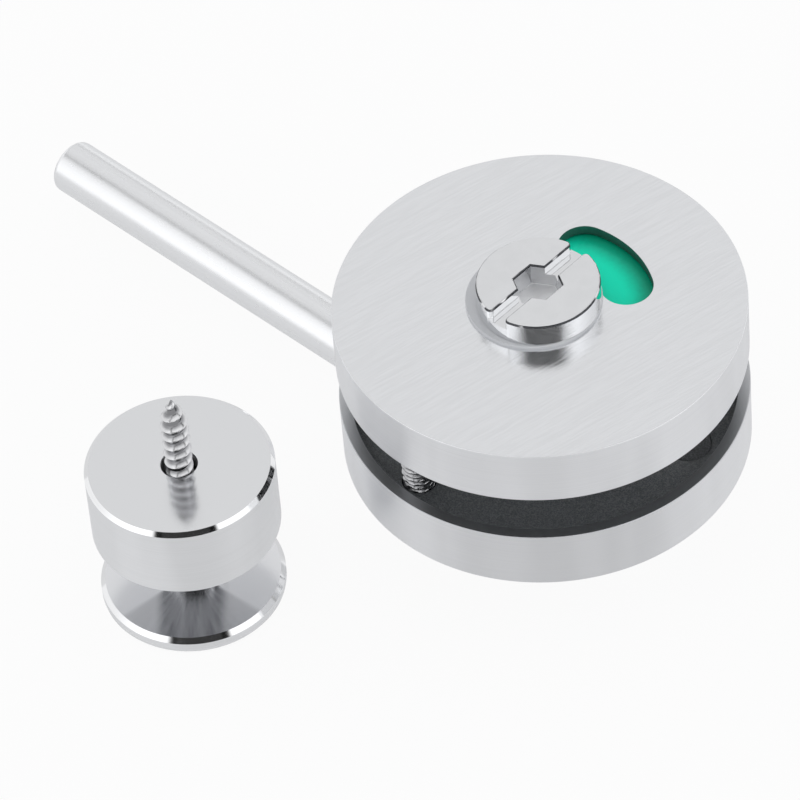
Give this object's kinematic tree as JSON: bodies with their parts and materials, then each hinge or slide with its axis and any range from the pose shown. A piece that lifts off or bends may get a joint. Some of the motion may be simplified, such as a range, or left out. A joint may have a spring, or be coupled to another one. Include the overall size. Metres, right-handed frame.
{
  "type": "toilet indicator bolt",
  "caption": "Indicator bolt for a cubicle door: two round rosettes, a coin release with a coloured dial, and a turning rod that hooks behind a bobbin keep.",
  "frame": {"origin": "on the turning axis, in the plane of the door's inner face, where the inner rosette's rim lies", "axes": "+Z along the turning axis towards the outside of the door, +X and +Y in the plane of the door; with the bolt drawn back the rod points 133.4 degrees from +X"},
  "size_m": [0.1018, 0.1056, 0.048],
  "materials": {
    "cover_aluminium": "satin sides, finely brushed face",
    "rod_aluminium": "satin turned",
    "keep_aluminium": "satin cylinder, polished neck and faces",
    "carrier_black": "black, grainy cast",
    "release_chrome": "bright chrome",
    "screw_steel": "zinc plated",
    "spring_steel": "dark spring steel",
    "bush_plastic": "natural nylon",
    "washer_plastic": "clear grey",
    "dial_white": "matt",
    "field_green": "smooth print",
    "field_red": "smooth print"
  },
  "bodies": {
    "fixed_parts": {"outer_cover": "cover_aluminium", "outer_carrier": "carrier_black", "outer_bush": "bush_plastic", "stop_pin": "screw_steel", "release_washer": "washer_plastic", "inner_cover": "cover_aluminium", "inner_carrier": "carrier_black", "blanking_plugs": "carrier_black", "clamp_screws": "screw_steel", "cover_grub_screws": "screw_steel", "inner_bush": "bush_plastic", "turn_washer": "bush_plastic", "friction_spring": "spring_steel", "keep_bobbin": "keep_aluminium", "keep_screw": "screw_steel"},
    "turning_parts": {"release_turn": "release_chrome", "indicator_dial": "dial_white", "green_field": "field_green", "red_field": "field_red", "release_ring": "spring_steel", "spindle": "screw_steel", "turn_hub": "rod_aluminium", "turn_ring": "spring_steel", "bolt_rod": "rod_aluminium", "rod_grub_screw": "screw_steel"}
  },
  "joints": [
    {"name": "bolt_turn", "type": "hinge", "parent": "fixed_parts", "child": "turning_parts", "pos_m": [0, 0, 0], "axis": [0, 0, 1], "range_deg": [-90, 0]}
  ]
}
